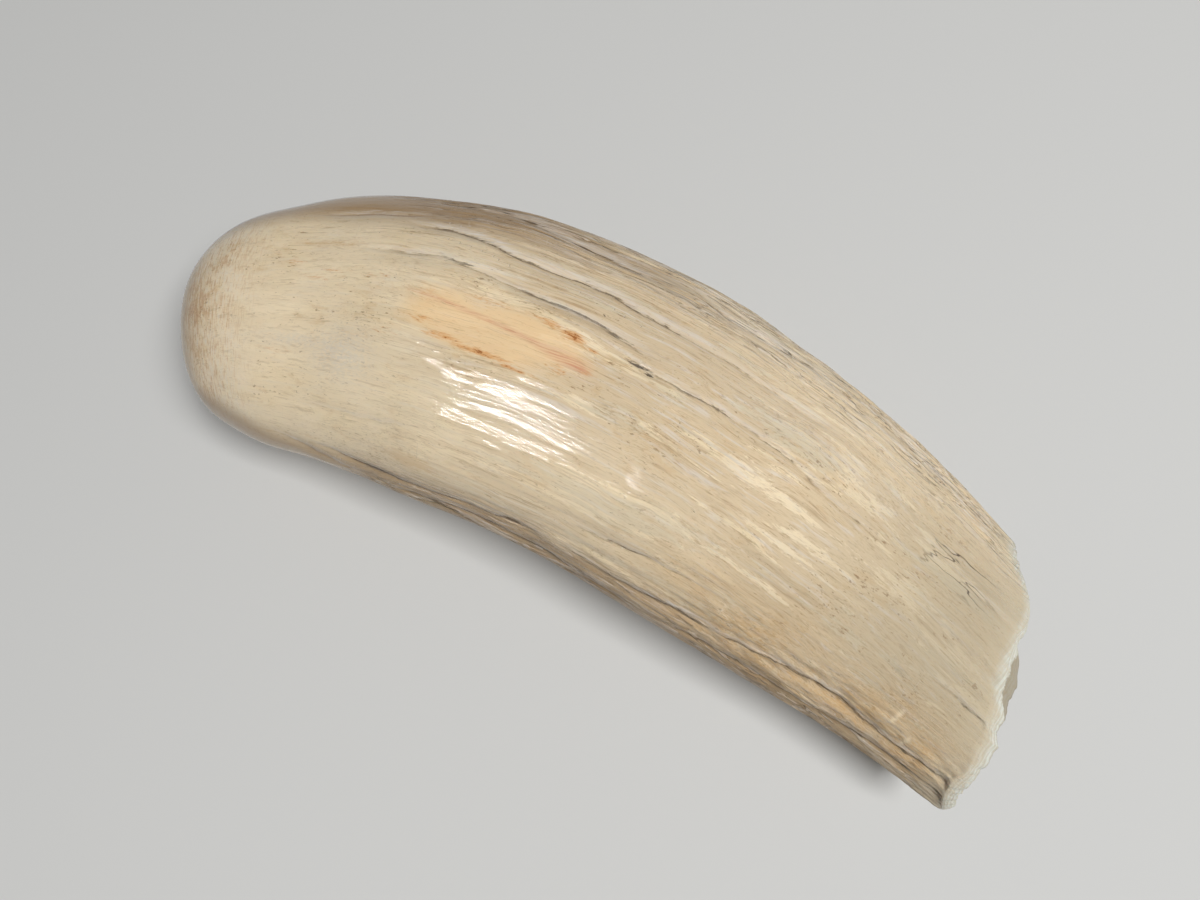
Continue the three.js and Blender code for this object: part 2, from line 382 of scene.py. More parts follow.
# Half width, depth and spread of each groove, then the distances and angles that its line runs through.
MAIN_GROOVES = (
    _groove(1.3, 0.8, 2.4, (38, 32), (52, 42), (62, 46), (70, 43)),
    _groove(1.3, 0.9, 2.4, (68, 38), (76, 45), (84, 41), (94, 35)),
    _groove(1.2, 0.4, 1.0, (18, 52), (33, 51), (42, 55)),
    _groove(1.2, 0.6, 1.6, (30, 57), (46, 62), (60, 65), (78, 67), (96, 67)),
    _groove(1.2, 0.5, 1.4, (26, 72.6), (36, 73.5), (46, 75), (60, 78), (74, 81)),
    _groove(1.3, 0.4, 1.0, (62, 82.5), (72, 85), (86, 86), (106, 88)),
    _groove(1.4, 0.6, 1.6, (94, 32), (105, 36), (119, 38)),
    _groove(1.3, 0.7, 2.0, (44, 20), (58, 27), (78, 29), (90, 24)),
    _groove(1.4, 0.3, 1.0, (20, 138), (32, 139), (46, 135)),
    _groove(1.4, 0.4, 1.0, (68, 146), (82, 142), (96, 139)),
    _groove(1.4, 0.6, 1.8, (24, 159), (34, 166), (48, 165), (60, 161), (70, 158)),
    _groove(1.5, 0.8, 1.8, (68, 157), (80, 162), (100, 155), (112, 150), (120, 155), (134, 152)),
    _groove(1.3, 1.0, 1.6, (86, 173), (98, 169), (106, 168), (114, 172), (124, 167), (138, 165)),
    _groove(1.5, 0.5, 1.4, (16, 157), (26, 170), (36, 177)),
    _groove(1.5, 0.7, 2.0, (38, 177), (55, 171), (72, 174), (88, 181)),
    _groove(1.5, 0.7, 1.8, (24, 206), (48, 198), (76, 203), (104, 196), (132, 201)),
    _groove(1.4, 0.6, 1.4, (58, 223), (84, 215), (110, 221), (132, 216)),
    _groove(1.5, 0.4, 1.0, (30, 238), (58, 233), (82, 239), (98, 235)),
    _groove(1.5, 0.5, 1.4, (40, 302), (62, 308), (88, 302), (112, 309)),
    _groove(1.4, 0.7, 1.8, (28, 325), (50, 331), (80, 322), (110, 330), (126, 327)),
    _groove(1.4, 0.8, 2.0, (36, 348), (58, 342), (80, 350), (100, 345), (122, 352)),
    _groove(1.3, 0.8, 2.0, (50, 9), (72, 3), (92, 11), (122, 6)),
    _groove(1.3, 0.4, 1.4, (24, 14), (38, 20), (50, 15)),
    _groove(0.35, 0.35, 1.0, (115, 78.5), (121, 77.5), (127, 77)),
    _groove(0.35, 0.35, 1.0, (119, 114), (125, 113), (132, 113)),
)


@dataclass(frozen=True)
class Swell:
    """One slow wave of the tooth's unevenness: height, length along, waves round and start angle."""

    height: float
    length: float
    round: int
    start: float

    def at(self, along: np.ndarray, angle: np.ndarray) -> np.ndarray:
        """Return how far the wave stands out."""
        turn = FULL_TURN * along / self.length + self.round * angle + self.start
        return self.height * np.sin(np.radians(turn))


SWELLS = (Swell(0.18, 47, 2, 20), Swell(0.1, 29, 3, 130), Swell(0.07, 17, 5, 250))

# Spots on the skin: distance from the tip, angle, half length, half width, and height or strength.
Spot: TypeAlias = tuple[float, float, float, float, float]
BULGES: tuple[Spot, ...] = (
    (5, 172, 6, 10, -2.6), (14, 24, 6, 10, -0.8), (27, 182, 7, 9, 0.45), (52, 182, 7, 9, -0.25),
    (79, 182, 12, 9, 0.45), (108, 182, 13, 8, 0.3), (27, 25, 8, 9, 0.6), (48, 24, 12, 9, 0.25),
    (74, 24, 14, 9, 0.5), (106, 24, 13, 8, 0.4),
)
STAIN: tuple[Spot, ...] = (
    (44, 93, 6.5, 3.4, 1.0), (54, 92, 9, 3.0, 1.2), (50, 100, 9, 1.6, 1.0), (50, 97, 14, 4.0, 0.5),
)
RUST: tuple[Spot, ...] = (
    (40.5, 88, 2.6, 1.0, 0.45), (41, 97, 2.6, 0.9, 0.5), (49, 85.0, 5, 0.5, 0.5), (57, 85.0, 2.6, 0.5, 0.8),
    (60.3, 86.2, 1.9, 0.75, 1.2), (63.3, 87.8, 1.4, 0.3, 0.9), (64, 95.5, 1.0, 0.5, 0.6),
    (60.5, 98, 1.6, 0.7, 0.6), (44.5, 101, 3, 0.5, 0.9), (50, 102.4, 5, 0.45, 1.0), (55, 103.5, 3, 0.35, 0.9),
    (48.5, 95.5, 1.2, 0.3, 0.6), (21, 80, 2.2, 0.8, 0.5), (24, 87, 2.6, 0.6, 0.5), (27, 84, 3, 0.35, 0.5),
    (33, 84.5, 3, 0.5, 0.4), (36, 104, 3, 0.6, 0.4), (20, 118, 3, 1.0, 0.35),
)
AMBER: tuple[Spot, ...] = (
    (25, 71.5, 8, 1.2, 0.7), (44, 149, 6, 1.8, 1.0), (52, 146, 9, 1.2, 0.4), (26, 96, 8, 5, 0.25),
    (108, 42, 14, 4, 0.4), (114, 43, 9, 4, 0.65),
)
SMUDGES: tuple[Spot, ...] = (
    (31, 116, 5, 4, 1.0), (25, 113, 7, 1.2, 0.7), (92, 73, 12, 2.4, 0.5), (60, 116, 9, 1.5, 0.9),
)
PITS: tuple[Spot, ...] = (
    (69, 84.8, 1.5, 0.24, 2.0), (70.8, 86.0, 0.8, 0.2, 1.6), (66.4, 83.4, 0.8, 0.3, 0.6),
    (124.5, 95, 0.5, 0.4, 0.7), (127.4, 99, 0.5, 0.35, 0.7), (117, 121, 0.4, 0.4, 0.6),
    (109, 134, 0.5, 0.4, 0.6), (88, 79, 0.9, 0.3, 0.5), (71.4, 78.0, 0.4, 0.35, 0.6),
    (74.8, 77.4, 0.4, 0.35, 0.5), (95, 45, 0.8, 0.5, 0.7), (103, 35, 1.1, 0.6, 0.8),
)

# The distances and angles that the thin line in the stain runs through.
THREAD = Run([(36, 87.5), (44, 90), (52, 92), (58, 93.6), (64, 95)])


@dataclass
class Skin:
    """What is carved into and seen on the skin, worked out for every vertex at once.

    Attributes:
        outline: The plain shape below it.
        along: Distance of each vertex from the tip.
        angle: Angle of each vertex round the tooth.
        worn_depth: How deep the tan layer lies below the cream outside.
        crust_depth: How deep the gaps between the lumps of the crust are.
        pit_depth: How deep a pit of strength 1 is.
        slope_layers: How many millimetres of growth layers the worn slope cuts through.
        step_depth: How deep a step between two growth layers is.
        step_length: How far apart the steps are.
        wall_waves: How high the waves of the cavity's wall are.
        radius: The plain tooth's radius at each vertex.
        straight: Each vertex on a straight, round tooth, which the grain's noise is read from.
        weather: How rough the skin is: the flanks most, the worn tip not at all.
        layer: Which worn layer lies open: above 0 the tan one below, under 0 the cream outside.
        dirt_and_shade: How much grime and painted shade lies in the cracks, pits and fine grooves.
        crust: How much rough, golden-brown crust is left, low on both flanks near the root.
        crease: Distance across the nearest main groove, and how strong that groove is.
        FAR: The distance across that stands for no groove near by.
    """

    outline: Outline
    along: np.ndarray
    angle: np.ndarray
    worn_depth: float = 0.16
    crust_depth: float = 0.22
    pit_depth: float = 0.5
    slope_layers: float = 2.6
    step_depth: float = 0.1
    step_length: float = 0.55
    wall_waves: float = 0.35
    radius: np.ndarray = field(init=False)
    straight: np.ndarray = field(init=False)
    weather: np.ndarray = field(init=False)
    layer: np.ndarray = field(init=False)
    dirt_and_shade: np.ndarray = field(init=False)
    crust: np.ndarray = field(init=False)
    crease: tuple[np.ndarray, np.ndarray] = field(init=False)

    FAR: ClassVar[float] = 9.0

    def __post_init__(self) -> None:
        """Work out what the carving and the finish both read."""
        self.radius = self.outline.outside.smooth(self.along)
        turn = np.radians(self.angle)
        self.straight = np.column_stack([self.along, self.radius * np.cos(turn), self.radius * np.sin(turn)])
        flanks = np.maximum.reduce([self.near(15, 46), 0.85 * self.near(192, 40), 0.6 * self.near(280, 50)])
        self.weather = (0.22 + 0.78 * flanks) * smooth_step(self.along, 12, 48)
        blotches = self.grain_noise(Seed.WORN_LAYER, 62, 6.0, 3)
        self.layer = blotches + 0.25 * self.grain_noise(Seed.WORN_LAYER_EDGE, 26, 1.3, 2)
        self.dirt_and_shade = np.zeros(len(self.along))
        inside_low = self.near(152, 19, 2) * smooth_step(self.along, 74, 100)
        outside_low = 0.42 * self.near(34, 14, 2) * smooth_step(self.along, 88, 112)
        self.crust = np.maximum(inside_low, outside_low)

    def near(self, angle: float, reach: float, power: int = 4) -> np.ndarray:
        """Return 1 at an angle, falling to 0 past a reach; a higher power falls later and faster."""
        return np.exp(-((turn_apart(self.angle, angle) / reach) ** power))

    def across_from(self, angle: np.ndarray | float) -> np.ndarray:
        """Return how far round the tooth each vertex is from an angle, in millimetres."""
        return np.radians(turn_apart(self.angle, angle)) * self.radius

    def grain_noise(self, seed: int, length: float, width: float, layers: int) -> np.ndarray:
        """Return noise drawn out along the grain.

        Args:
            seed: The pattern's seed.
            length: How long a streak is.
            width: How wide it is.
            layers: How many finer layers it has.

        Returns:
            The noise at each vertex, from about -1 to 1.
        """
        return GradientNoise(seed).layered(self.straight / (length, width, width), layers)

    def patch(self, along: float, angle: float, length: float, width: float) -> np.ndarray:
        """Return a soft oval patch, 1 in its middle, of the given half length and half width."""
        return np.exp(-(((self.along - along) / length) ** 2) - (self.across_from(angle) / width) ** 2)

    def patches(self, spots: Sequence[Spot]) -> np.ndarray:
        """Return the strongest of several patches."""
        return np.maximum.reduce([strength * self.patch(*spot) for *spot, strength in spots])

    def sum_of(self, spots: Sequence[Spot]) -> np.ndarray:
        """Return several patches added up."""
        return sum(height * self.patch(*spot) for *spot, height in spots)

    def swells(self) -> np.ndarray:
        """Work out the slow unevenness of the whole tooth.

        Returns:
            How far it stands out. The waves are weak at the seen outline, which the bulges shape.
        """
        waves = sum(swell.at(self.along, self.angle) for swell in SWELLS)
        outline_sides = self.near(24, 32) + self.near(182, 32)
        return waves * (1 - 0.85 * outline_sides) + self.sum_of(BULGES)

    def creases(self) -> np.ndarray:
        """Cut the main grooves, and note the grime and painted shade in their cracks, and their lines.

        Returns:
            The height that they take away, as numbers below 0.
        """
        height = np.zeros(len(self.along))
        slow, quick = GradientNoise(Seed.SLOW_WANDER), GradientNoise(Seed.QUICK_WANDER)
        wander = 1.6 * slow(self.straight / (9, 14, 14)) + 0.8 * quick(self.straight / (3, 9, 9))
        open_end = self.outline.break_middle - self.outline.break_lean
        nearest = np.full(len(self.along), self.FAR)
        firm = np.zeros(len(self.along))
        for number, groove in enumerate(MAIN_GROOVES):
            across, strength = groove.profile(self.along, self.angle + wander, self.radius, open_end)
            vary = 0.75 + 0.5 * GradientNoise(Seed.FIRST_GROOVE + number)(self.straight / (11, 40, 40))
            strength = strength * vary
            height -= groove.depth * strength * groove.hollow(across)
            # Grime and painted shade along the crack at the bottom of the groove.
            dirt_and_crack_shade = strength * groove.crack(across) * min(1, groove.depth * 1.3)
            self.dirt_and_shade = np.maximum(self.dirt_and_shade, dirt_and_crack_shade)
            distance = across * groove.width
            closer = (np.abs(distance) < np.abs(nearest)) & (strength > 0.02)
            nearest = np.where(closer, distance, nearest)
            firm = np.where(closer, strength * min(1, groove.depth * 1.4), firm)
        self.crease = (nearest, firm)
        return height

    def fine_grooves(self) -> np.ndarray:
        """Cut the grain's many fine grooves, deeper on rough skin, and note their grime and painted shade.

        Returns:
            The height that they take away, as numbers below 0.
        """
        long_ones = np.exp(-((self.grain_noise(Seed.LONG_GROOVES, 34, 2.3, 3) / 0.10) ** 2))
        short_ones = np.exp(-((self.grain_noise(Seed.SHORT_GROOVES, 20, 1.1, 2) / 0.14) ** 2))
        rough = self.weather**1.6
        self.dirt_and_shade = np.maximum(self.dirt_and_shade, rough * np.clip(0.6 * long_ones + 0.3 * short_ones, 0, 1))
        return -(0.014 + 0.26 * rough) * long_ones - (0.008 + 0.12 * rough) * short_ones

    def crust_lumps(self) -> np.ndarray:
        """Return the height that is missing between the lumps of the crust."""
        lumps = GradientNoise(Seed.CRUST).layered(self.straight / (2.4, 1.1, 1.1), 2)
        return -self.crust_depth * self.crust * smooth_step(lumps, 0.25, -0.25)

    def worn_layer(self) -> np.ndarray:
        """Return the height that is missing where the tan layer lies open."""
        return -self.worn_depth * smooth_step(self.layer, -0.12, 0.16) * smooth_step(self.along, 20, 70)

    def pits(self) -> np.ndarray:
        """Cut a crevice and small pits, and note the grime and painted shade in them.

        Returns:
            The height that they take away, as numbers below 0.
        """
        pits = self.patches(PITS)
        self.dirt_and_shade = np.maximum(self.dirt_and_shade, 1.4 * pits)
        return -self.pit_depth * pits

    def relief(self) -> np.ndarray:
        """Add up all that is carved into the skin; the very tip and the flat underneath stay plain.

        Returns:
            How far each vertex stands out from the plain shape. All but the slow swells goes inwards.
        """
        carved = self.swells() + self.creases() + self.fine_grooves()
        carved = carved + self.crust_lumps() + self.worn_layer() + self.pits()
        return carved * smooth_step(self.along, 0, self.outline.tip_length) * (1 - self.near(UNDERNEATH, 24))

    def growth_steps(self, share: np.ndarray) -> np.ndarray:
        """Return the fine steps of growth layers by the share of the way down the worn slope."""
        wavy = self.slope_layers * share + 0.25 * GradientNoise(Seed.GROWTH_STEPS)(self.straight / 3.0)
        return -self.step_depth - self.step_depth * np.abs(np.sin(wavy * math.pi / self.step_length))

    def pulp_wall(self) -> np.ndarray:
        """Return the slow waves of the cavity's wall."""
        return self.wall_waves * GradientNoise(Seed.PULP_WALL).layered(self.straight / (12, 3.5, 3.5), 2)

    def marks(self) -> tuple[np.ndarray, np.ndarray, np.ndarray]:
        """Return how stained, how rusty and how amber each vertex is."""
        return self.patches(STAIN), self.patches(RUST), self.patches(AMBER)

    def thread(self) -> np.ndarray:
        """Draw the thin, rose line that runs through the stain.

        Returns:
            How strong the line is at each vertex, from 0 to 1.
        """
        start, end = THREAD.points[0][0], THREAD.points[-1][0]
        across = self.across_from(THREAD.smooth(self.along))
        width = np.interp(self.along, (start, end - 9, end - 2), (0.25, 0.3, 0.9))
        reach = smooth_step(self.along, start, start + 6) * (1 - smooth_step(self.along, end - 1, end + 1))
        return np.exp(-((across / width) ** 2)) * reach


class Region(Enum):
    """The stretches of the tooth's surface, from the tip over the skin into the cavity."""

    TIP = 8
    BODY = 33
    SLOPE = 3
    LIP = 1
    PULP = 5

    @property
    def rings(self) -> int:
        """Return how many rings of the cage it has."""
        return self.value


@dataclass
class Tooth:
    """The whole tooth: one closed skin that runs from the tip over the broken edge into the pulp cavity.

    Attributes:
        outline: Its plain shape.
        sides: Vertices round the first ring, before it is made finer.
        finer: How many times each face is parted in four.
        bend: The four points of the centreline's curve, seen from above.
        bend_steps: How many straight steps that curve is worked out in.
    """

    outline: Outline = field(default_factory=Outline)
    sides: int = 120
    finer: int = 2
    bend: tuple[tuple[float, float], ...] = ((-63.1, -10.3), (-24.4, 9.9), (20.4, 6.5), (72.0, -13.1))
    bend_steps: int = 256

    def _starts(self) -> dict[Region, int]:
        """Return the ring that each region starts at."""
        counts = [region.rings for region in Region]
        return dict(zip(Region, np.concatenate([[0], np.cumsum(counts)[:-1]]).tolist()))

    @staticmethod
    def _unevenness(angle: np.ndarray) -> np.ndarray:
        """Return how many times longer than planned the worn slope is at an angle."""
        turn = np.radians(angle)
        return 1 + 0.16 * np.sin(7 * turn + 1) + 0.07 * np.sin(17 * turn + 2)

    def _place(self, ring: np.ndarray, angle: np.ndarray) -> tuple[np.ndarray, np.ndarray, np.ndarray]:
        """Turn a ring number and an angle into a place on the plain tooth.

        Args:
            ring: Ring numbers, with fractions between the rings.
            angle: Angles round the tooth.

        Returns:
            Distance from the tip, depth below the skin, and how open the pulp cavity is there.
        """
        o = self.outline
        starts = self._starts()
        share = {region: np.clip((ring - starts[region]) / region.rings, 0, 1) for region in Region}
        edge = o.break_at(angle)
        worn = o.worn_slope.smooth(angle) * self._unevenness(angle)
        slope_start = o.even_break(angle) + o.slope_chips * o.chips.straight(angle) - worn
        skin_end = np.minimum(slope_start, edge - o.least_slope)
        tip = o.tip_length * (1 - np.cos(np.radians(90 * share[Region.TIP])))
        body = o.tip_length + (skin_end - o.tip_length) * share[Region.BODY]
        slope = skin_end + (edge - skin_end) * share[Region.SLOPE]
        opened = (1 - share[Region.PULP]) ** o.pulp_crowding
        mouth = edge - o.lip_drop
        lip = edge - o.lip_drop * share[Region.LIP]
        pulp = o.pulp_deepest + (mouth - o.pulp_deepest) * opened
        following = (Region.BODY, Region.SLOPE, Region.LIP, Region.PULP)
        along = np.select([ring <= starts[region] for region in following], [tip, body, slope, lip], pulp)
        depth = o.wall / 2 * (share[Region.SLOPE] ** o.slope_roundness + share[Region.LIP])
        return along, depth, opened**o.pulp_roundness

    def _cage(self) -> bpy.types.Object:
        """Model the straight, coarse tooth.

        Returns:
            The closed cage, in millimetres, with ring number, cosine and sine of each vertex in an attribute.
        """
        o = self.outline
        rings = np.arange(sum(region.rings for region in Region) + 1, dtype=float)
        side, top = np.full_like(rings, OUTSIDE), np.full_like(rings, TOP)
        along, depth, opened = self._place(rings, top)
        width = (o.section(along, side)[0] - depth) * opened
        height = (o.section(along, top)[1] - depth) * opened
        centres = np.column_stack([along, 0 * along, o.middle(along)])
        cage = self._draw_out(centres, width, height)
        self._number(cage, centres, width, height)
        return cage

    def _draw_out(self, centres: np.ndarray, width: np.ndarray, height: np.ndarray) -> bpy.types.Object:
        """Draw a ring out along the tooth and back into the cavity, and gather both ends into a point.

        Args:
            centres: The centre of each ring, and of the point at each end.
            width: Half width of each ring.
            height: Half height of each ring.

        Returns:
            The closed cage.
        """
        first = tuple(centres[1])
        bpy.ops.object.select_all(action="DESELECT")
        bpy.ops.mesh.primitive_circle_add(
            vertices=self.sides, radius=1, location=first, rotation=(0, math.pi / 2, 0)
        )
        cage = bpy.context.object
        bpy.ops.object.mode_set(mode="EDIT")
        bpy.ops.mesh.select_all(action="SELECT")
        bpy.ops.transform.resize(value=(1, width[1], height[1]), center_override=first)
        for k in range(2, len(centres) - 1):
            step = tuple(centres[k] - centres[k - 1])
            bpy.ops.mesh.extrude_region_move(TRANSFORM_OT_translate={"value": step})
            grow = (1, width[k] / width[k - 1], height[k] / height[k - 1])
            bpy.ops.transform.resize(value=grow, center_override=tuple(centres[k]))
        self._close_pole(tuple(centres[-1] - centres[-2]))
        bpy.ops.mesh.select_all(action="DESELECT")
        bpy.ops.object.mode_set(mode="OBJECT")
        for vertex in cage.data.vertices[: self.sides]:
            vertex.select = True
        bpy.ops.object.mode_set(mode="EDIT")
        self._close_pole(tuple(centres[0] - centres[1]))
        bpy.ops.mesh.select_all(action="SELECT")
        bpy.ops.mesh.normals_make_consistent(inside=False)
        bpy.ops.object.mode_set(mode="OBJECT")
        bpy.ops.object.transform_apply(location=True, rotation=True, scale=True)
        return cage

    @staticmethod
    def _close_pole(step: tuple[float, float, float]) -> None:
        """Draw the selected ring out by a step and gather it into one point."""
        bpy.ops.mesh.extrude_region_move(TRANSFORM_OT_translate={"value": step})
        bpy.ops.mesh.merge(type="CENTER")

    def _number(
        self, cage: bpy.types.Object, centres: np.ndarray, width: np.ndarray, height: np.ndarray
    ) -> None:
        """Keep on each vertex which ring it is on and where on the ring it is.

        Args:
            cage: The closed cage.
            centres: The centre of each ring, and of the point at each end.
            width: Half width of each ring.
            height: Half height of each ring.
        """
        points = coordinates(cage)
        last = len(centres) - 1
        ring = 1 + np.arange(len(points)) // self.sides
        poles = ring > last - 1
        ring[poles] = np.where(points[poles, 0] < centres[1, 0], 0, last)
        turn = np.arctan2(
            (points[:, 2] - centres[ring, 2]) / np.maximum(height[ring], self.outline.wall),
            points[:, 1] / np.maximum(width[ring], self.outline.wall),
        )
        reach = np.where(poles, 0, 1)
        keep(cage, "course", np.column_stack([ring, reach * np.cos(turn), reach * np.sin(turn)]))

    def _relief(self, skin: Skin, ring: np.ndarray) -> tuple[np.ndarray, np.ndarray, np.ndarray]:
        """Join the relief of the skin, of the worn slope and of the cavity's wall.

        Args:
            skin: The skin to carve.
            ring: Ring number of each vertex.

        Returns:
            How far each vertex stands out, how far down the worn slope it is, and how far inside, 0 to 1.
        """
        starts = self._starts()
        slope, lip, pulp = (starts[region] for region in (Region.SLOPE, Region.LIP, Region.PULP))
        on_slope = smooth_step(ring, slope, slope + 0.75)
        inner = smooth_step(ring, lip + 0.3, pulp + 0.2)
        slope_share = np.clip((ring - slope) / Region.SLOPE.rings, 0, 1)
        relief = skin.relief() * (1 - on_slope) + (1 - inner) * on_slope * skin.growth_steps(slope_share)
        relief = relief * (1 - inner) + inner * skin.pulp_wall()
        relief[ring > pulp + Region.PULP.rings - 0.3] = 0
        return relief, slope_share, inner

    def _carve(self, piece: bpy.types.Object) -> None:
        """Move each vertex to its place on the carved, still straight tooth, and keep what its finish reads.

        Args:
            piece: The finely parted cage.
        """
        o = self.outline
        ring, across, upward = kept(piece, "course").T
        piece.data.attributes.remove(piece.data.attributes["course"])
        angle = np.mod(np.degrees(np.arctan2(upward, across)), FULL_TURN)
        along, depth, opened = self._place(ring, angle)
        skin = Skin(o, along, angle)
        relief, slope_share, inner = self._relief(skin, ring)
        half_width, half_height = o.section(along, angle)
        turn = np.radians(angle)
        y = (half_width - depth + relief) * opened * np.cos(turn)
        z = (half_height - depth + relief) * opened * np.sin(turn)
        place = np.column_stack([along, y, np.maximum(o.middle(along) + z, 0)])
        piece.data.vertices.foreach_set("co", place.ravel())
        numbers = {
            "grain": (along, y, z),
            "skin": (skin.across_from(TOP), skin.layer, skin.weather),
            "dirt_shade_crust": (skin.dirt_and_shade, skin.crust, skin.crease[1]),
            "marks": skin.marks(),
            "root": (o.break_at(angle) - along, slope_share, inner),
            "lines": (skin.crease[0], skin.patches(SMUDGES), skin.thread()),
        }
        for name, three in numbers.items():
            keep(piece, name, np.column_stack(three))

    def _bend(self, piece: bpy.types.Object) -> None:
        """Bend the straight tooth along its centreline.

        Args:
            piece: The carved tooth, lying along +X.
        """
        bpy.ops.object.select_all(action="DESELECT")
        bpy.ops.curve.primitive_bezier_curve_add()
        centreline = bpy.context.object
        tip, tip_pull, root_pull, root = (Vector((x, y, 0)) for x, y in self.bend)
        first, last = centreline.data.splines[0].bezier_points
        for point in (first, last):
            point.handle_left_type = point.handle_right_type = "FREE"
        first.co, first.handle_right, first.handle_left = tip, tip_pull, 2 * tip - tip_pull
        last.co, last.handle_left, last.handle_right = root, root_pull, 2 * root - root_pull
        centreline.data.dimensions = "3D"
        centreline.data.twist_mode = "Z_UP"
        centreline.data.resolution_u = self.bend_steps
        bend = piece.modifiers.new("bend", "CURVE")
        bend.object = centreline
        bend.deform_axis = "POS_X"
        bpy.context.view_layer.objects.active = piece
        bpy.ops.object.modifier_apply(modifier=bend.name)
        bpy.data.objects.remove(centreline)

    def build(self) -> bpy.types.Object:
        """Model the tooth.

        Returns:
            The tooth in metres, in its place.
        """
        piece = self._cage()
        piece.name = piece.data.name = "whole_tooth"
        finer = piece.modifiers.new("finer", "SUBSURF")
        finer.levels = finer.render_levels = self.finer
        bpy.ops.object.modifier_apply(modifier=finer.name)
        self._carve(piece)
        self._bend(piece)
        lowest, highest = (np.array(corner) for corner in CAD_BOX)
        piece.data.vertices.foreach_set("co", np.clip(MM * coordinates(piece), lowest, highest).ravel())
        bpy.ops.object.select_all(action="DESELECT")
        piece.select_set(True)
        bpy.ops.object.shade_smooth()
        return piece

    @staticmethod
    def dress(piece: bpy.types.Object) -> None:
        """Give the tooth its finish."""
        piece.data.materials.append(ToothFinish().material())


def coordinates(piece: bpy.types.Object) -> np.ndarray:
    """Read a mesh's vertices.

    Args:
        piece: The object that has the mesh.

    Returns:
        One row of three coordinates for each vertex.
    """
    flat = np.empty(len(piece.data.vertices) * 3)
    piece.data.vertices.foreach_get("co", flat)
    return flat.reshape(-1, 3)


def keep(piece: bpy.types.Object, name: str, vectors: np.ndarray) -> None:
    """Keep one vector for each vertex, for a material or a later step to read."""
    attribute = piece.data.attributes.new(name, "FLOAT_VECTOR", "POINT")
    attribute.data.foreach_set("vector", vectors.astype(np.float32).ravel())


def kept(piece: bpy.types.Object, name: str) -> np.ndarray:
    """Read the vectors that were kept on a mesh.

    Args:
        piece: The object that has the mesh.
        name: The name that they were kept under.

    Returns:
        One row of three numbers for each vertex.
    """
    flat = np.empty(len(piece.data.vertices) * 3, np.float32)
    piece.data.attributes[name].data.foreach_get("vector", flat)
    return flat.reshape(-1, 3).astype(float)


Colour: TypeAlias = tuple[int, int, int]
Input: TypeAlias = "Wire | float | tuple[float, ...]"


def paint(colour: Colour) -> tuple[float, float, float, float]:
    """Return a colour given as 0 to 255 on a screen in the linear values that a shader takes."""
    shares = (channel / 255 for channel in colour)
    return (*(s / 12.92 if s <= 0.04045 else ((s + 0.055) / 1.055) ** 2.4 for s in shares), 1.0)


@dataclass(frozen=True)
class Wire:
    """The output of a node in a material, on which Python's operators add the nodes that work them out."""

    bench: "Bench"
    socket: bpy.types.NodeSocket

    def __add__(self, other: Input) -> "Wire":
        """Return the sum."""
        return self.bench.math("ADD", self, other)

    def __radd__(self, other: Input) -> "Wire":
        """Return the sum with a number on the left."""
        return self.bench.math("ADD", other, self)

    def __sub__(self, other: Input) -> "Wire":
        """Return the difference."""
        return self.bench.math("SUBTRACT", self, other)

    def __rsub__(self, other: Input) -> "Wire":
        """Return the difference from a number on the left."""
        return self.bench.math("SUBTRACT", other, self)

    def __mul__(self, other: Input) -> "Wire":
        """Return the product."""
        return self.bench.math("MULTIPLY", self, other)

    def __rmul__(self, other: Input) -> "Wire":
        """Return the product with a number on the left."""
        return self.bench.math("MULTIPLY", other, self)

    def __truediv__(self, other: Input) -> "Wire":
        """Return the quotient."""
        return self.bench.math("DIVIDE", self, other)

    def __pow__(self, other: Input) -> "Wire":
        """Return the power."""
        return self.bench.math("POWER", self, other)

    def __abs__(self) -> "Wire":
        """Return the size without its sign."""
        return self.bench.math("ABSOLUTE", self)

    def between(self, low: float, high: float) -> "Wire":
        """Return 0 at low, 1 at high and a soft change between them; low may be the larger number."""
        inputs = {"Value": self, "From Min": low, "From Max": high}
        return self.bench.node("ShaderNodeMapRange", {"interpolation_type": "SMOOTHSTEP"}, inputs)

    def line(self, middle: float, width: float) -> "Wire":
        """Return 1 where the value is at the middle, falling to 0 within the width."""
        return 1 - abs(self - middle).between(0, width)


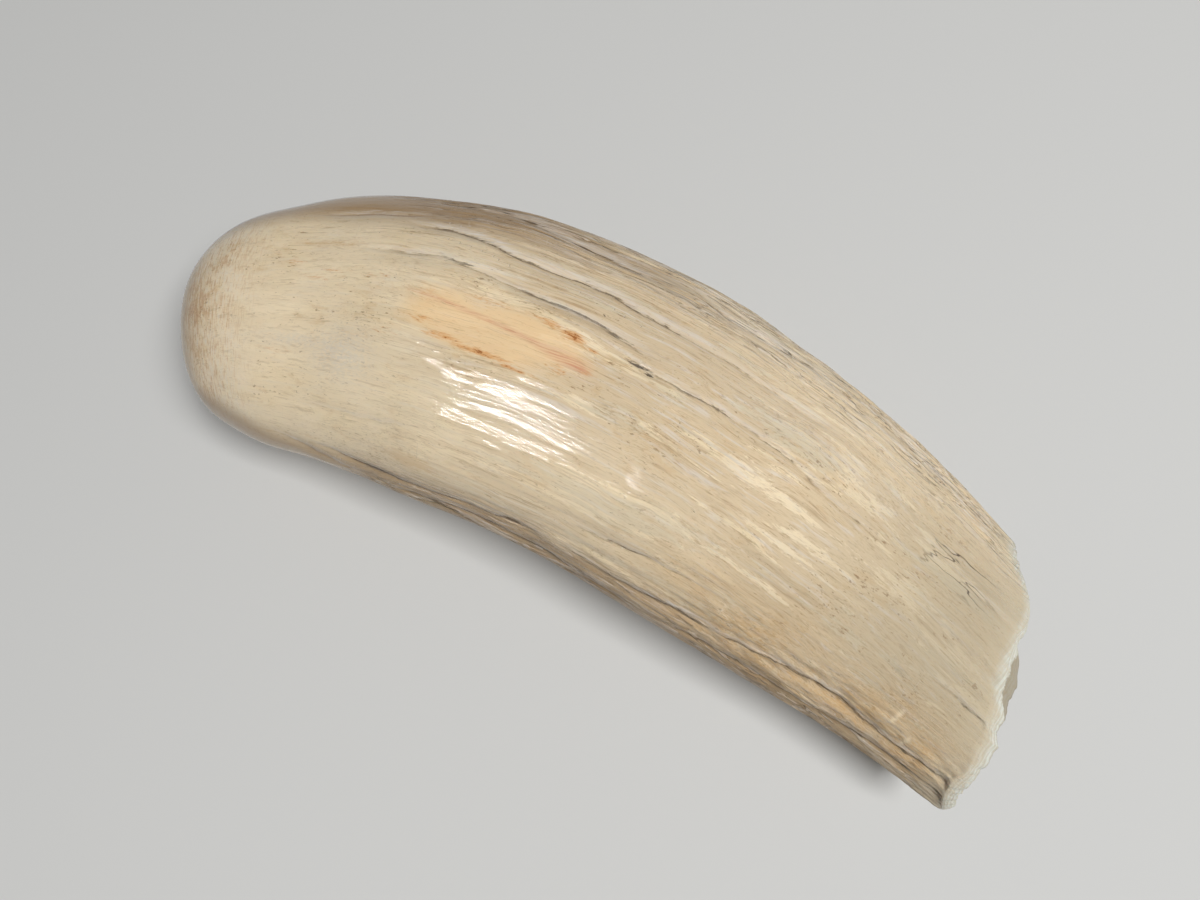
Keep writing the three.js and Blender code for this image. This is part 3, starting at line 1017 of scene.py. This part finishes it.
class Bench:
    """A new material and the calls that add its nodes.

    Attributes:
        material: The material.
        tree: Its nodes and links.
    """

    def __init__(self, name: str) -> None:
        """Start an empty material.

        Args:
            name: The material's name.
        """
        self.material = bpy.data.materials.new(name)
        self.material.use_nodes = True
        self.tree = self.material.node_tree
        self.tree.nodes.clear()

    def node(self, kind: str, settings: dict, inputs: dict, output: int | str = 0) -> Wire:
        """Add a node.

        Args:
            kind: The node's type.
            settings: Its own settings, which are set first.
            inputs: Socket names or numbers, each with a value or the wire that feeds it.
            output: The output socket to hand back.

        Returns:
            The output as a wire.
        """
        node = self.tree.nodes.new(kind)
        for name, value in settings.items():
            setattr(node, name, value)
        for name, value in inputs.items():
            if isinstance(value, Wire):
                self.tree.links.new(value.socket, node.inputs[name])
            else:
                node.inputs[name].default_value = value
        return Wire(self, node.outputs[output])

    def finish(self, shader: Wire) -> None:
        """Feed a shader to the material's output."""
        output = self.tree.nodes.new("ShaderNodeOutputMaterial")
        self.tree.links.new(shader.socket, output.inputs["Surface"])

    def math(self, operation: str, *values: Input) -> Wire:
        """Add a Math node on one or two values."""
        return self.node("ShaderNodeMath", {"operation": operation}, dict(enumerate(values)))

    def attribute(self, name: str) -> tuple[Wire, Wire, Wire]:
        """Read a kept vector and return its three numbers."""
        vector = self.node("ShaderNodeAttribute", {"attribute_name": name}, {}, "Vector")
        return tuple(self.node("ShaderNodeSeparateXYZ", {}, {"Vector": vector}, k) for k in range(3))

    def streaks(
        self, grain: Wire, length: float, width: float, detail: float, roughness: float, shift: float
    ) -> Wire:
        """Add noise drawn out along the grain.

        Args:
            grain: The places on the straightened tooth, in millimetres.
            length: How long a streak is.
            width: How wide it is.
            detail: How many finer layers the noise has.
            roughness: How strong they are.
            shift: Moves the pattern, so that two of one size differ.

        Returns:
            The noise, from about -0.4 to 0.4.
        """
        stretch = (1 / length, 1 / width, 1 / width)
        moved = {0: grain, 1: stretch, 2: (shift, shift, shift)}
        scaled = self.node("ShaderNodeVectorMath", {"operation": "MULTIPLY_ADD"}, moved)
        inputs = {"Vector": scaled, "Scale": 1, "Detail": detail, "Roughness": roughness}
        return self.node("ShaderNodeTexNoise", {}, inputs) - 0.5

    def warped(self, places: Wire, length: float, width: float, reach: float) -> Wire:
        """Move places sideways by noise, so that what is drawn at them wanders.

        Args:
            places: The places on the straightened tooth, in millimetres.
            length: How long a wave is.
            width: How wide it is.
            reach: How far it moves things at the most.

        Returns:
            The moved places.
        """
        stretch = (1 / length, 1 / width, 1 / width)
        scaled = self.node("ShaderNodeVectorMath", {"operation": "MULTIPLY"}, {0: places, 1: stretch})
        inputs = {"Vector": scaled, "Scale": 1, "Detail": 2, "Roughness": 0.5}
        drift = self.node("ShaderNodeTexNoise", {}, inputs, "Color")
        moved = {0: drift, 1: (0, reach, reach), 2: places}
        return self.node("ShaderNodeVectorMath", {"operation": "MULTIPLY_ADD"}, moved)

    def mix(self, share: Input, below: Input, above: Input) -> Wire:
        """Lay one colour over another by a share."""
        settings = {"data_type": "RGBA", "blend_type": "MIX"}
        return self.node("ShaderNodeMix", settings, {0: share, 6: below, 7: above}, 2)

    def lay(self, below: Input, *layers: tuple[Wire, Colour]) -> Wire:
        """Lay plain colours over one another.

        Args:
            below: The colour at the bottom.
            layers: The share and the colour of each layer, from the bottom up.

        Returns:
            The colour that is seen.
        """
        for share, colour in layers:
            below = self.mix(share, below, paint(colour))
        return below


class Grain:
    """What the tooth's material reads: the numbers kept on the tooth, and noise drawn out along its grain.

    Attributes:
        straight: The place on the straightened tooth, in millimetres.
        along: Distance from the tip.
        across: Distance round the tooth from the top: under 0 on the outside, above 0 on the inside.
        layer: Which worn layer lies open: above 0 the tan one below, under 0 the cream outside.
        weather: How rough the skin is.
        dirt_and_shade: How much grime and painted shade lies in the cracks, pits and fine grooves.
        crust: How much crust is left.
        firm: How strong the nearest main groove is.
        stain: How strong the peach stain is.
        rust: How strong the rust spots are.
        amber: How strong the golden patches are.
        groove: Distance across the nearest main groove.
        smudge: How strong the grey smudges are.
        thread: How strong the thin line in the stain is.
        edge: Distance from the broken edge.
        down: Share of the way down the worn slope.
        inner: 0 on the skin, 1 in the cavity.
        slope: 0 on the skin, 1 from a quarter of the way down the worn slope.
        flow: The place on the straightened tooth, moved so that what is drawn there wanders.
        bands: The widest streaks, a few millimetres across.
        patches: Ragged patches.
        ribs: Streaks about half a millimetre wide.
        fibres: The finest streaks.
        grit: Short, grainy streaks.
        specks: The smallest grains.
        breaks: Slow noise that breaks lines up.
        cloud: Slow, cloudy noise.
        ledge: Noise that is 0 along the lip of each fine ledge.
        rough: Where the skin is rough enough for ledges.
        past_tip: 0 on the worn tip, 1 from the middle of the tooth.
        to_root: 0 as far as two thirds of the tooth, 1 near the root.
    """

    def __init__(self, b: Bench) -> None:
        """Read every kept number and add the noises that several parts of the finish share.

        Args:
            b: The material to build in.
        """
        self.straight = b.node("ShaderNodeAttribute", {"attribute_name": "grain"}, {}, "Vector")
        self.along = b.node("ShaderNodeSeparateXYZ", {}, {"Vector": self.straight}, 0)
        self.across, self.layer, self.weather = b.attribute("skin")
        self.dirt_and_shade, self.crust, self.firm = b.attribute("dirt_shade_crust")
        self.stain, self.rust, self.amber = b.attribute("marks")
        self.groove, self.smudge, self.thread = b.attribute("lines")
        self.edge, self.down, self.inner = b.attribute("root")
        self.slope = self.down.between(0, 0.25)
        wandering = b.warped(self.straight, 18, 9, 2.4)
        self.flow = b.warped(wandering, 2.4, 0.8, 0.5)
        self.bands = b.streaks(wandering, 42, 2.8, detail=3, roughness=0.5, shift=3)
        self.patches = b.streaks(self.flow, 17, 1.7, detail=6, roughness=0.66, shift=17)
        self.ribs = b.streaks(wandering, 18, 0.6, detail=3, roughness=0.55, shift=7)
        self.fibres = b.streaks(wandering, 5, 0.18, detail=3, roughness=0.6, shift=13)
        self.grit = b.streaks(self.flow, 1.3, 0.32, detail=3, roughness=0.68, shift=29)
        self.specks = b.streaks(self.flow, 0.55, 0.26, detail=2, roughness=0.6, shift=23)
        self.breaks = b.streaks(self.flow, 8, 5, detail=2, roughness=0.6, shift=61)
        self.cloud = b.streaks(self.straight, 9, 6, detail=2, roughness=0.5, shift=41)
        self.ledge = b.streaks(self.flow, 30, 1.2, detail=3, roughness=0.55, shift=83)
        self.rough = self.weather.between(0.4, 0.9)
        self.past_tip = self.along.between(26, 66)
        self.to_root = self.along.between(88, 124)


@dataclass(frozen=True)
class ToothFinish:
    """Old whale tooth: cream with tan and grey bands, grime and painted shade in its grooves, a rusty stain.

    Attributes:
        cream: The skin itself, and painted light beside the top. Every colour is given as 0 to 255
        on a screen.
        butter: Warmer clouds in it.
        tan: The layer below it, where that lies open, and streaks in the cavity.
        ash: Grey bands, and the skin close to the broken edge.
        lilac: Painted highlights on the ribs, on the banks of the grooves and on the lips of the ledges.
        umber: Painted shade in the hollows, beside the grooves and on the very tip; painted shade and grime
        where the skin turns down at the sides; patch edges and fine streaks.
        bark: Flecks, fine hairlines and the gaps in the crust.
        dirt_and_shade: Grime and painted shade in the cracks and pits, and the dark dots.
        rust: The dark rust in the stain.
        tawny: The paler rust round it.
        silver: The grey smudges.
        peach: The stain.
        rose: The thin line in the stain.
        scuff: The scratches across the worn end.
        amber: The crust and the golden patches.
        broken: The pale growth layers of the broken rim.
        shade: The darker growth layers, and the skin near the root.
        inner_wall: The cavity's wall, and the facet at the rim.
        rings: How far the wave that draws the growth layers turns over the whole slope, in radians.
        ring_waver: How far noise turns it.
        facet_height: How far up from the edge the grey-brown facet reaches in its middle.
        facet_middle: Where its middle is, as a distance round the tooth from the top.
        facet_reach: How far it reaches to each side of that.
        relief_strength: How strong the shader's own fine relief is.
        relief_height: How high that relief is.
        refraction: How strongly the surface bends light.
        see_into: How much of the light enters the surface.
        light_depth: How deep red, green and blue light go in, in metres.
    """

    cream: Colour = (238, 220, 188)
    butter: Colour = (229, 208, 170)
    tan: Colour = (211, 189, 156)
    ash: Colour = (203, 190, 164)
    lilac: Colour = (226, 218, 208)
    umber: Colour = (160, 132, 98)
    bark: Colour = (132, 104, 74)
    dirt_and_shade: Colour = (70, 60, 50)
    rust: Colour = (150, 88, 40)
    tawny: Colour = (212, 150, 86)
    silver: Colour = (212, 203, 188)
    peach: Colour = (240, 205, 156)
    rose: Colour = (208, 152, 120)
    scuff: Colour = (196, 156, 124)
    amber: Colour = (200, 162, 110)
    broken: Colour = (214, 217, 208)
    shade: Colour = (176, 164, 140)
    inner_wall: Colour = (150, 138, 116)
    rings: float = 34
    ring_waver: float = 11
    facet_height: float = 2.1
    facet_middle: float = 0.6
    facet_reach: float = 4.4
    relief_strength: float = 0.5
    relief_height: float = 0.25
    refraction: float = 1.54
    see_into: float = 0.1
    light_depth: tuple[float, float, float] = (0.003, 0.0018, 0.0009)

    def body(self, b: Bench, g: Grain) -> Wire:
        """Lay the bands, patches and streaks of the skin over each other.

        Args:
            b: The material to build in.
            g: What the material reads.

        Returns:
            The colour.
        """
        grey = (g.bands + 0.35 * g.ribs + 0.12 * g.layer).between(-0.03, 0.09)
        open_patch = g.patches - 0.35 * g.bands + 0.12 * g.layer + 0.03
        shore = open_patch.line(0, 0.03) * (g.grit + 0.4 * g.breaks).between(-0.02, 0.12)
        # Painted shade in the hollows between the ribs.
        hollow = (-1 * g.ribs + 0.3 * g.fibres).between(0.06, 0.22)
        mottles = b.streaks(g.flow, 2.8, 1.1, detail=4, roughness=0.65, shift=71)
        on_top = 1 - abs(g.across).between(6, 20)
        return b.lay(
            paint(self.cream),
            (g.cloud.between(-0.15, 0.2) * 0.6, self.butter),
            (grey * (0.12 + 0.62 * g.past_tip), self.ash),
            (open_patch.between(-0.012, 0.03) * (0.15 + 0.6 * g.past_tip), self.tan),
            (shore * g.past_tip * 0.5, self.umber),
            # Painted highlight on the rib crests, then painted shade in the hollows between them.
            (g.ribs.between(0.04, 0.2) * (0.14 + 0.38 * g.past_tip), self.lilac),
            (hollow * (0.26 + 0.16 * g.past_tip + 0.3 * g.weather), self.umber),
            (g.fibres.between(0.02, 0.24) * (0.08 + 0.2 * g.past_tip + 0.5 * g.weather), self.umber),
            ((mottles + 0.5 * g.cloud).between(0.06, 0.2) * 0.24, self.amber),
            (g.to_root * (0.15 + 0.55 * on_top), self.shade),
        )

    def scrapes(self, b: Bench, g: Grain) -> Wire:
        """Draw two short, pale scrapes across the grain near the root.

        Args:
            b: The material to build in.
            g: What the material reads.

        Returns:
            How strong they are.
        """
        first = g.along.line(121.5, 0.6) * g.across.between(13, 14) * (1 - g.across.between(16, 16.6))
        second = g.along.line(124.8, 0.5) * g.across.between(15.8, 16.4) * (1 - g.across.between(18.4, 19.2))
        return b.math("MAXIMUM", first, second) * (0.55 + g.grit)

    def stains(self, b: Bench, g: Grain, colour: Wire) -> Wire:
        """Lay the freckles, the crust, the stain with its rust, the scrapes and the smudges over the skin.

        Args:
            b: The material to build in.
            g: What the material reads.
            colour: The skin's colour.

        Returns:
            The colour with all of them.
        """
        flecks = (g.grit + 0.5 * g.specks + 0.35 * g.cloud).between(0.15, 0.24)
        dots = (g.specks + 0.5 * g.breaks).between(0.3, 0.34)
        grainy = (g.grit + 0.7 * g.cloud + 0.4 * g.specks).between(-0.16, 0.16)
        gaps = (-1 * g.grit + 0.4 * g.ribs).between(0.1, 0.22)
        golden = (g.amber + 1.2 * g.grit + 0.6 * g.ribs).between(0.35, 1.0)
        peachy = (g.stain + 0.5 * g.bands + 0.25 * g.grit).between(0.15, 0.75)
        fibrous = 0.5 + 1.2 * g.fibres.between(-0.1, 0.15)
        tinged = (g.rust + 1.4 * g.grit + 0.9 * g.fibres).between(0.25, 0.95)
        rusty = (g.rust + 2.4 * g.grit + 1.6 * g.specks).between(0.85, 1.35)
        return b.lay(
            colour,
            (flecks * 0.6, self.bark),
            (dots * 0.8, self.dirt_and_shade),
            (g.crust * (0.3 + 0.7 * grainy) * 0.8, self.amber),
            (g.crust * gaps * 0.7, self.bark),
            (golden * 0.6, self.amber),
            (peachy * 0.7, self.peach),
            (g.thread * fibrous * 0.6, self.rose),
            (tinged * 0.75, self.tawny),
            (rusty * 0.85, self.rust),
            (self.scrapes(b, g), self.cream),
            (g.smudge * (0.2 + 0.6 * g.specks.between(-0.12, 0.1)), self.silver),
        )

    def tip(self, b: Bench, g: Grain, colour: Wire) -> Wire:
        """Lay the scratches across the worn end, and painted shade on its very end, over the skin.

        Args:
            b: The material to build in.
            g: What the material reads.
            colour: The skin's colour.

        Returns:
            The colour with both.
        """
        scratches = b.streaks(g.flow, 0.2, 1.6, detail=3, roughness=0.66, shift=53) + 0.3 * g.cloud
        worn_end = g.along.between(1.5, 4) * (1 - g.along.between(8, 19))
        return b.lay(
            colour,
            (worn_end * scratches.between(0.0, 0.11) * 0.62, self.scuff),
            (worn_end * (-1 * scratches).between(0.0, 0.12) * 0.4, self.lilac),
            # Painted shade on the very end.
            ((1 - g.along.between(0.4, 8)) * 0.6, self.umber),
        )

    def sides(self, b: Bench, g: Grain, colour: Wire) -> Wire:
        """Paint shade and grime where the skin turns down, light next to that, and fine hairs on the flanks.

        Args:
            b: The material to build in.
            g: What the material reads.
            colour: The skin's colour.

        Returns:
            The colour with all of them.
        """
        # Painted shade, partly darker grimy skin, where the skin turns down on the outside and on the inside.
        outer_shade_and_dirt = (-1 * g.across).between(9.5, 16.5) * (1 - g.along.between(40, 62))
        reach = g.across - 4 * g.along.between(8, 30) + 3.5 * (1 - g.along.between(6, 20))
        inner_shade_and_dirt = reach.between(20.5, 27) * (1 - 0.25 * g.along.between(30, 50))
        # Painted light on the outside towards the root, and beside the top on the inside.
        sunny = (-1 * g.across).between(5, 13) * g.along.between(48, 100)
        beside_top = g.across.between(5, 13) * (1 - g.across.between(23, 28))
        bright = beside_top * g.along.between(16, 42) * (1 - g.along.between(76, 100))
        # The lit stretch of the outer side keeps clear of the weathering and painted shade laid on the sides.
        lit_outer_flank = g.across.between(-6, -14) * g.along.between(50, 84)
        weathered_flank_and_shade = g.weather.between(0.3, 0.95) * (1 - lit_outer_flank)
        streaked = 0.25 + 0.6 * (g.bands + g.ribs).between(-0.1, 0.25)
        hairs = b.streaks(g.flow, 12, 0.15, detail=3, roughness=0.65, shift=37).between(0.05, 0.17)
        return b.lay(
            colour,
            # Painted shade and grime at the turn of the sides, painted light beside the top, then weathering
            # with painted shade.
            (outer_shade_and_dirt * 0.9 + inner_shade_and_dirt * 0.74, self.umber),
            (sunny * 0.4 + bright * 0.36, self.cream),
            (weathered_flank_and_shade * streaked, self.umber),
            (hairs * (0.15 + 0.5 * g.weather), self.bark),
        )

    def hairlines(self, b: Bench, g: Grain) -> Wire:
        """Draw a few hairline cracks along the grain near the root.

        Args:
            b: The material to build in.
            g: What the material reads.

        Returns:
            How strong they are.
        """
        strokes = b.streaks(g.straight, 8, 1.6, detail=2, roughness=0.5, shift=91).line(0, 0.022)
        stretch = g.along.between(109, 113) * (1 - g.along.between(118, 122))
        return strokes * (stretch * g.across.between(-8.5, -7) * (1 - g.across.between(-3.5, -2)))

    def grooves(self, b: Bench, g: Grain, colour: Wire) -> tuple[Wire, Wire, Wire]:
        """Paint each groove's and ledge's shadow, highlight, and grime and shade in the crack, over the skin.

        Args:
            b: The material to build in.
            g: What the material reads.
            colour: The skin's colour.

        Returns:
            The colour with all of them, how deep the cracks are, and the grime and painted shade.
        """
        # Dark fissures along the fine ledges carry grime and painted shade; their lit lips get a painted
        # highlight.
        fissure = g.ledge.line(0, 0.016) * g.rough * (g.breaks + 0.5 * g.grit).between(-0.12, 0.05)
        lit = (g.ledge.between(0.012, 0.03) - g.ledge.between(0.05, 0.11)) * g.rough
        wavy = g.groove + 0.5 * g.grit + 1.1 * g.ribs + 0.3 * g.fibres
        # Painted highlight on one side of each main groove, painted shadow on the other.
        painted_bank_highlight = ((-1 * wavy).between(0.08, 0.22) - (-1 * wavy).between(0.4, 1.0)) * g.firm
        painted_groove_shadow = (wavy.between(-0.1, 0.05) - wavy.between(0.1, 0.9)) * g.firm
        ripe = 1 - 0.8 * (1 - g.along.between(30, 44)) * (1 - g.weather.between(0.25, 0.5))
        pale = (0.4 + 0.9 * g.fibres.between(-0.1, 0.2)) * 0.8
        broken_up = (g.firm * 1.3 + 0.8 * g.grit + 2.0 * g.breaks).between(0.3, 0.9)
        deep = wavy.line(0, 0.2) * broken_up * ripe
        fine = b.math("MAXIMUM", fissure * 0.8, self.hairlines(b, g))
        crack = b.math("MAXIMUM", deep * 0.85, fine)
        # Grime and painted shade in the cracks, pits and fine grooves.
        settled_dirt_and_shade = (g.dirt_and_shade * ripe * (0.6 + 2.0 * g.fibres + g.grit)).between(0.15, 0.95)
        dirt_and_crack_shade = b.math("MAXIMUM", crack, settled_dirt_and_shade)
        colour = b.lay(
            colour,
            # Painted shadow, painted highlight, then grime and painted shade in the cracks.
            (painted_groove_shadow * (0.3 + 0.3 * (1 - ripe)), self.umber),
            (b.math("MAXIMUM", painted_bank_highlight, 0.7 * lit) * pale, self.lilac),
            (dirt_and_crack_shade * 0.85, self.dirt_and_shade),
        )
        return colour, crack, dirt_and_crack_shade

    def outside(self, b: Bench, g: Grain) -> tuple[Wire, Wire, Wire]:
        """Finish the skin.

        Args:
            b: The material to build in.
            g: What the material reads.

        Returns:
            The skin's colour, its roughness and the height of its fine relief.
        """
        marked = self.tip(b, g, self.stains(b, g, self.body(b, g)))
        colour, crack, dirt_and_crack_shade = self.grooves(b, g, self.sides(b, g, marked))
        worn = 0.85 * (g.weather - 0.2).between(0, 1) + 0.4 * g.to_root
        roughness = 0.085 + 0.4 * worn + 0.1 * g.crust + 0.1 * g.specks + 0.1 * g.grit + 0.12 * dirt_and_crack_shade
        fine = 0.05 * g.specks + 0.025 * g.fibres + 0.12 * g.ribs
        coarse = (0.8 * g.fibres + 0.9 * g.ribs + 0.7 * g.grit) * (worn + 0.6 * g.crust)
        steps = 1.5 * g.ledge.between(-0.03, 0.03) * g.rough
        return colour, roughness, fine + coarse + steps - 0.6 * crack

    def root(self, b: Bench, g: Grain, colour: Wire) -> Wire:
        """Lay the growth layers of the broken rim, its facet and the cavity's wall over the skin.

        Args:
            b: The material to build in.
            g: What the material reads.
            colour: The skin's colour.

        Returns:
            The colour of the whole tooth.
        """
        layers = b.streaks(g.straight, 0.35, 9, detail=3, roughness=0.6, shift=31)
        rings = b.math("SINE", g.down * self.rings + layers * self.ring_waver) * 0.5 + 0.5
        broken = b.mix(rings * 0.5, paint(self.broken), paint(self.shade))
        sideways = abs((g.across - self.facet_middle) / self.facet_reach)
        facet_width = self.facet_height - self.facet_height * sideways**2 + 0.8 * g.grit
        past_facet = g.edge - b.math("MAXIMUM", facet_width, 0) + 1.5 * g.grit
        rim = 1 - past_facet.between(0.3, 2.6)
        bared = b.math("MAXIMUM", g.down.between(0, 0.7) * 0.55, rim) * (0.85 + g.ribs)
        facet = (facet_width - g.edge).between(-0.1, 0.2)
        wall = b.mix(layers.between(-0.2, 0.2) * 0.5, paint(self.inner_wall), paint(self.tan))
        near_edge = 1 - (g.edge + 3 * g.bands).between(1.5, 8)
        skin = b.lay(colour, (near_edge * 0.6, self.ash))
        rimmed = b.lay(b.mix(bared, skin, broken), (facet * g.slope * 0.8, self.inner_wall))
        return b.mix(g.inner, rimmed, wall)

    def material(self) -> bpy.types.Material:
        """Build the material from the vectors that were kept on the tooth.

        Returns:
            The material.
        """
        b = Bench("old_tooth")
        g = Grain(b)
        skin, roughness, height = self.outside(b, g)
        relief = {"Strength": self.relief_strength, "Distance": MM * self.relief_height, "Height": height}
        shader = b.node(
            "ShaderNodeBsdfPrincipled",
            {"subsurface_method": "RANDOM_WALK"},
            {
                "Base Color": self.root(b, g, skin),
                "Roughness": roughness + 0.25 * g.slope + 0.2 * g.inner,
                "Normal": b.node("ShaderNodeBump", {}, relief),
                "IOR": self.refraction,
                "Subsurface Weight": self.see_into,
                "Subsurface Radius": self.light_depth,
                "Subsurface Scale": 1.0,
            },
        )
        b.finish(shader)
        return b.material


@dataclass(frozen=True)
class FloorFinish:
    """The look of the studio's plain, pale floor.

    Attributes:
        colour: Its colour, as 0 to 255 on a screen.
        roughness: How matt it is.
    """

    colour: Colour = (205, 205, 203)
    roughness: float = 0.7

    def material(self) -> bpy.types.Material:
        """Build the material.

        Returns:
            The material.
        """
        b = Bench("pale_floor")
        inputs = {"Base Color": paint(self.colour), "Roughness": self.roughness}
        b.finish(b.node("ShaderNodeBsdfPrincipled", {}, inputs))
        return b.material


@dataclass(frozen=True)
class Lamp:
    """A rectangular lamp that faces the object, with its long side along the object.

    Attributes:
        name: Its name.
        towards: The direction to it from the object.
        distance: How far away it is, in metres.
        size: How long and how wide it is, in metres.
        power: Its power in watts.
        mirrored: Whether it only shows in reflections; if not, it lights things and shows in none.
    """

    name: str
    towards: tuple[float, float, float]
    distance: float
    size: tuple[float, float]
    power: float
    mirrored: bool

    def hang(self) -> None:
        """Add the lamp to the studio."""
        back = Vector(self.towards).normalized()
        side = back.cross((1, 0, 0)).normalized()
        bpy.ops.object.light_add(type="AREA", location=back * self.distance)
        lamp = bpy.context.object
        lamp.name = self.name
        lamp.rotation_euler = Matrix((side.cross(back), side, back)).transposed().to_euler()
        lamp.data.shape = "RECTANGLE"
        lamp.data.size, lamp.data.size_y = self.size
        lamp.data.energy = self.power
        lamp.visible_glossy = self.mirrored
        lamp.visible_diffuse = not self.mirrored


def _strip(name: str, towards: tuple[float, float, float]) -> Lamp:
    """Return a narrow lamp that only makes a thin line of light on what is glossy."""
    return Lamp(name, towards, distance=0.5, size=(0.17, 0.004), power=0.32, mirrored=True)


@dataclass
class Studio:
    """The plain floor, the soft lights and the camera.

    Attributes:
        turn: How far the camera is turned about the upright from +Y, in degrees.
        tilt: How far it leans from looking straight down, in degrees.
        distance: How far it is from the point that it aims at, in millimetres.
        aim: The point that it aims at, in millimetres.
        lens: Its focal length, in millimetres.
        sensor: How wide its sensor is, in millimetres.
        nearest: How near it can see, in metres.
        floor_size: How long each side of the floor is, in metres.
        sky_strength: How bright the even light from all round is.
        lamps: The soft main light, and the three strips that glitter on the tooth.
    """

    turn: float = 25
    tilt: float = 16
    distance: float = 141
    aim: tuple[float, float, float] = (-0.17, 2.39, -0.4)
    lens: float = 25.5
    sensor: float = 36
    nearest: float = 0.005
    floor_size: float = 3.0
    sky_strength: float = 0.1
    lamps: tuple[Lamp, ...] = (
        Lamp("main_light", (0.42, -0.05, 0.90), distance=1.0, size=(0.4, 0.4), power=10, mirrored=False),
        _strip("upper_strip", (-0.31, -0.31, 0.90)),
        _strip("middle_strip", (-0.22, -0.47, 0.85)),
        _strip("lower_strip", (-0.27, -0.65, 0.71)),
    )

    def floor(self) -> None:
        """Lay the floor."""
        bpy.ops.object.select_all(action="DESELECT")
        bpy.ops.mesh.primitive_plane_add(size=self.floor_size)
        floor = bpy.context.object
        floor.name = "studio_floor"
        floor.data.materials.append(FloorFinish().material())

    def sky(self) -> None:
        """Fill the studio with even, pale light."""
        world = bpy.data.worlds.new("studio_air")
        world.use_nodes = True
        background = world.node_tree.nodes["Background"]
        background.inputs["Color"].default_value = (1, 1, 1, 1)
        background.inputs["Strength"].default_value = self.sky_strength
        bpy.context.scene.world = world

    def camera(self) -> None:
        """Stand the camera where the photograph was taken from."""
        turn, tilt = math.radians(self.turn), math.radians(self.tilt)
        back = Vector((math.sin(tilt) * math.sin(turn), -math.sin(tilt) * math.cos(turn), math.cos(tilt)))
        bpy.ops.object.camera_add(
            location=MM * (Vector(self.aim) + self.distance * back), rotation=(tilt, 0, turn)
        )
        camera = bpy.context.object
        camera.data.lens = self.lens
        camera.data.sensor_width = self.sensor
        camera.data.clip_start = self.nearest
        bpy.context.scene.camera = camera

    def build(self) -> None:
        """Set the whole studio up."""
        self.floor()
        for lamp in self.lamps:
            lamp.hang()
        self.sky()
        self.camera()
        bpy.context.scene.view_settings.view_transform = "Standard"


def main() -> None:
    """Build the tooth and the studio round it, and log how many faces the tooth has."""
    logging.basicConfig(level=logging.INFO, format="%(name)s: %(message)s")
    maker = Tooth()
    tooth = maker.build()
    maker.dress(tooth)
    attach(tooth, "root")
    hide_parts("tooth")
    log.info("%s: %d faces", tooth.name, len(tooth.data.polygons))
    Studio().build()


if __name__ == "__main__":
    main()
